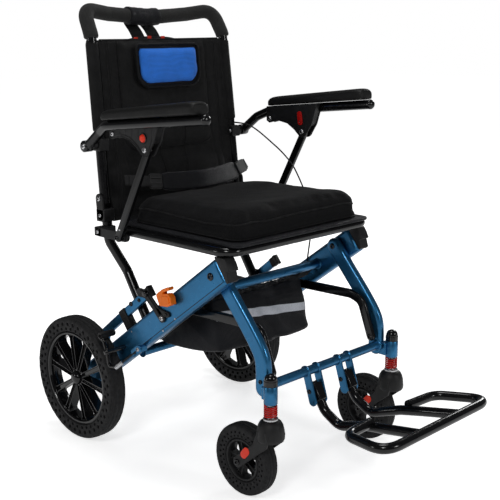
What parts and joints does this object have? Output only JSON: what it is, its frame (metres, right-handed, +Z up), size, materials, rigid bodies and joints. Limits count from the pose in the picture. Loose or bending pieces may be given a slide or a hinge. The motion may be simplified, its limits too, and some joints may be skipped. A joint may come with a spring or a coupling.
{
  "type": "manual wheelchair",
  "caption": "Folding child-size manual wheelchair: sloping side beams, small rear wheels, sprung casters, looped footrest, padded seat, fabric backrest and foam push bar.",
  "frame": {"origin": "centre of the chair's box, on the floor that its wheels stand on", "axes": "+Z up; -Y towards the footrest, which is the way the chair faces; +X towards the user's left"},
  "size_m": [0.5464, 0.9571, 0.9736],
  "materials": {
    "blue_paint": "metallic gloss paint",
    "black_tube": "gloss powder coat",
    "black_plastic": "fine moulded grain",
    "tyre_rubber": "matte polyurethane",
    "steel": "zinc plated",
    "red_paint": "gloss",
    "orange_plastic": "satin gloss",
    "black_fabric": "woven nylon and spacer mesh",
    "blue_fabric": "brushed knit",
    "foam": "closed-cell foam"
  },
  "bodies": {
    "main_frame": {"main_beam_r": "blue_paint", "main_beam_l": "blue_paint", "beam_cap_r": "black_plastic", "beam_cap_l": "black_plastic", "mid_cross_tube": "blue_paint", "rear_cross_tube": "blue_paint", "guide_bar_r": "blue_paint", "guide_bar_l": "blue_paint", "storage_bag": "black_fabric", "brake_cable": "black_plastic", "rear_axle_r": "steel", "rear_axle_l": "steel"},
    "back_frame": {"back_tube_r": "black_tube", "back_tube_l": "black_tube"},
    "front_legs": {"front_leg_r": "blue_paint", "front_leg_l": "blue_paint", "front_cross_tube": "blue_paint", "caster_cap_r": "black_plastic", "caster_cap_l": "black_plastic", "caster_spring_r": "red_paint", "caster_spring_l": "red_paint"},
    "footrest": {"footrest": "black_tube"},
    "seat": {"seat_frame": "black_tube", "seat_cushion": "black_fabric", "lap_belt": "black_fabric"},
    "backrest": {"push_bar_frame": "black_tube", "handle_foam": "foam", "backrest_fabric": "black_fabric", "head_pad": "blue_fabric"},
    "brake_lever": {"brake_lever": "black_plastic"},
    "latch": {"latch_plate": "black_plastic", "latch_tab": "orange_plastic"},
    "rear_wheel_r": {"rear_tyre_r": "tyre_rubber", "rear_wheel_r": "black_plastic"},
    "fold_link_r": {"fold_link_r": "black_tube"},
    "caster_slider_r": {"spring_seat_r": "steel"},
    "caster_fork_r": {"caster_fork_r": "black_plastic", "caster_axle_r": "steel"},
    "caster_wheel_r": {"caster_tyre_r": "tyre_rubber", "caster_wheel_r": "black_plastic"},
    "armrest_r": {"arm_tube_r": "black_tube", "arm_pad_r": "black_plastic", "arm_bracket_r": "black_plastic"},
    "arm_button_r": {"arm_button_r": "red_paint"},
    "support_bar_r": {"support_bar_r": "black_tube"},
    "brake_arm_r": {"brake_arm_r": "black_tube"},
    "rear_wheel_l": {"rear_tyre_l": "tyre_rubber", "rear_wheel_l": "black_plastic"},
    "fold_link_l": {"fold_link_l": "black_tube"},
    "caster_slider_l": {"spring_seat_l": "steel"},
    "caster_fork_l": {"caster_fork_l": "black_plastic", "caster_axle_l": "steel"},
    "caster_wheel_l": {"caster_tyre_l": "tyre_rubber", "caster_wheel_l": "black_plastic"},
    "armrest_l": {"arm_tube_l": "black_tube", "arm_pad_l": "black_plastic", "arm_bracket_l": "black_plastic"},
    "arm_button_l": {"arm_button_l": "red_paint"},
    "support_bar_l": {"support_bar_l": "black_tube"},
    "brake_arm_l": {"brake_arm_l": "black_tube"}
  },
  "joints": [
    {"name": "back_fold", "type": "hinge", "parent": "main_frame", "child": "back_frame", "pos_m": [0, 0.20465, 0.331], "axis": [1, 0, 0], "range_deg": [0, 55]},
    {"name": "leg_fold", "type": "hinge", "parent": "main_frame", "child": "front_legs", "pos_m": [0, -0.05375, 0.44], "axis": [1, 0, 0], "range_deg": [0, 22.6]},
    {"name": "seat_fold", "type": "hinge", "parent": "back_frame", "child": "seat", "pos_m": [0, 0.19575, 0.486], "axis": [1, 0, 0], "range_deg": [-84.2, 0]},
    {"name": "backrest_fold", "type": "hinge", "parent": "back_frame", "child": "backrest", "pos_m": [0, 0.28725, 0.5565], "axis": [-1, 0, 0], "range_deg": [-85, 0], "deforming": ["lap_belt", "brake_cable"]},
    {"name": "footrest_flip", "type": "hinge", "parent": "front_legs", "child": "footrest", "pos_m": [0, -0.19725, 0.197], "axis": [-1, 0, 0], "range_deg": [0, 90]},
    {"name": "brake_lever_pull", "type": "hinge", "parent": "backrest", "child": "brake_lever", "pos_m": [0.178, 0.34925, 0.8075], "axis": [1, 0, 0], "range_deg": [0, 20], "stiffness_Nm_per_rad": 0.4, "springref_deg": -11.46},
    {"name": "latch_release", "type": "hinge", "parent": "main_frame", "child": "latch", "pos_m": [-0.2225, 0.07825, 0.329], "axis": [1, 0, 0], "range_deg": [0, 15], "stiffness_Nm_per_rad": 0.5, "springref_deg": -11.46},
    {"name": "rear_wheel_spin_r", "type": "hinge", "parent": "main_frame", "child": "rear_wheel_r", "pos_m": [-0.2514, 0.33625, 0.1425], "axis": [1, 0, 0], "continuous": true},
    {"name": "link_fold_r", "type": "hinge", "parent": "front_legs", "child": "fold_link_r", "pos_m": [-0.16, -0.17775, 0.2575], "axis": [1, 0, 0], "range_deg": [-18.1, 0]},
    {"name": "caster_spring_r", "type": "slide", "parent": "front_legs", "child": "caster_slider_r", "axis": [0, 0, 1], "range_m": [0, 0.008], "stiffness_N_per_m": 14000, "springref_m": -0.006, "deforming": ["caster_spring_r"]},
    {"name": "caster_swivel_r", "type": "hinge", "parent": "caster_slider_r", "child": "caster_fork_r", "pos_m": [-0.1952, -0.20805, 0.2], "axis": [0, 0, 1], "continuous": true},
    {"name": "caster_spin_r", "type": "hinge", "parent": "caster_fork_r", "child": "caster_wheel_r", "pos_m": [-0.1952, -0.14085, 0.0752], "axis": [1, 0, 0], "continuous": true},
    {"name": "armrest_fold_r", "type": "hinge", "parent": "backrest", "child": "armrest_r", "pos_m": [-0.2375, 0.29525, 0.6735], "axis": [1, 0, 0], "range_deg": [-65.9, 0]},
    {"name": "arm_button_push_r", "type": "slide", "parent": "armrest_r", "child": "arm_button_r", "axis": [1, 0, 0], "range_m": [0, 0.003], "stiffness_N_per_m": 600, "springref_m": -0.003},
    {"name": "support_bar_fold_r", "type": "hinge", "parent": "back_frame", "child": "support_bar_r", "pos_m": [-0.2372, 0.19575, 0.486], "axis": [1, 0, 0], "range_deg": [0, 54]},
    {"name": "brake_arm_turn_r", "type": "hinge", "parent": "main_frame", "child": "brake_arm_r", "pos_m": [-0.224, 0.21125, 0.235], "axis": [1, 0, 0], "range_deg": [-10, 0]},
    {"name": "rear_wheel_spin_l", "type": "hinge", "parent": "main_frame", "child": "rear_wheel_l", "pos_m": [0.2514, 0.33625, 0.1425], "axis": [1, 0, 0], "continuous": true},
    {"name": "link_fold_l", "type": "hinge", "parent": "front_legs", "child": "fold_link_l", "pos_m": [0.16, -0.17775, 0.2575], "axis": [1, 0, 0], "range_deg": [-18.1, 0]},
    {"name": "caster_spring_l", "type": "slide", "parent": "front_legs", "child": "caster_slider_l", "axis": [0, 0, 1], "range_m": [0, 0.008], "stiffness_N_per_m": 14000, "springref_m": -0.006, "deforming": ["caster_spring_l"]},
    {"name": "caster_swivel_l", "type": "hinge", "parent": "caster_slider_l", "child": "caster_fork_l", "pos_m": [0.1952, -0.20805, 0.2], "axis": [0, 0, 1], "continuous": true},
    {"name": "caster_spin_l", "type": "hinge", "parent": "caster_fork_l", "child": "caster_wheel_l", "pos_m": [0.1952, -0.14085, 0.0752], "axis": [1, 0, 0], "continuous": true},
    {"name": "armrest_fold_l", "type": "hinge", "parent": "backrest", "child": "armrest_l", "pos_m": [0.2375, 0.29525, 0.6735], "axis": [1, 0, 0], "range_deg": [-65.9, 0]},
    {"name": "arm_button_push_l", "type": "slide", "parent": "armrest_l", "child": "arm_button_l", "axis": [-1, 0, 0], "range_m": [0, 0.003], "stiffness_N_per_m": 600, "springref_m": -0.003},
    {"name": "support_bar_fold_l", "type": "hinge", "parent": "back_frame", "child": "support_bar_l", "pos_m": [0.2372, 0.19575, 0.486], "axis": [1, 0, 0], "range_deg": [0, 54]},
    {"name": "brake_arm_turn_l", "type": "hinge", "parent": "main_frame", "child": "brake_arm_l", "pos_m": [0.224, 0.21125, 0.235], "axis": [1, 0, 0], "range_deg": [-10, 0]}
  ],
  "couplings": [
    {"joint": "leg_fold", "follows": "back_fold", "ratio": 0.4084},
    {"joint": "seat_fold", "follows": "back_fold", "ratio": -1.527},
    {"joint": "link_fold_r", "follows": "back_fold", "ratio": -0.3283},
    {"joint": "armrest_fold_r", "follows": "backrest_fold", "ratio": 0.7748},
    {"joint": "support_bar_fold_r", "follows": "backrest_fold", "ratio": -0.6345},
    {"joint": "brake_arm_turn_r", "follows": "brake_lever_pull", "ratio": -0.5},
    {"joint": "link_fold_l", "follows": "back_fold", "ratio": -0.3283},
    {"joint": "armrest_fold_l", "follows": "backrest_fold", "ratio": 0.7748},
    {"joint": "support_bar_fold_l", "follows": "backrest_fold", "ratio": -0.6345},
    {"joint": "brake_arm_turn_l", "follows": "brake_lever_pull", "ratio": -0.5}
  ]
}
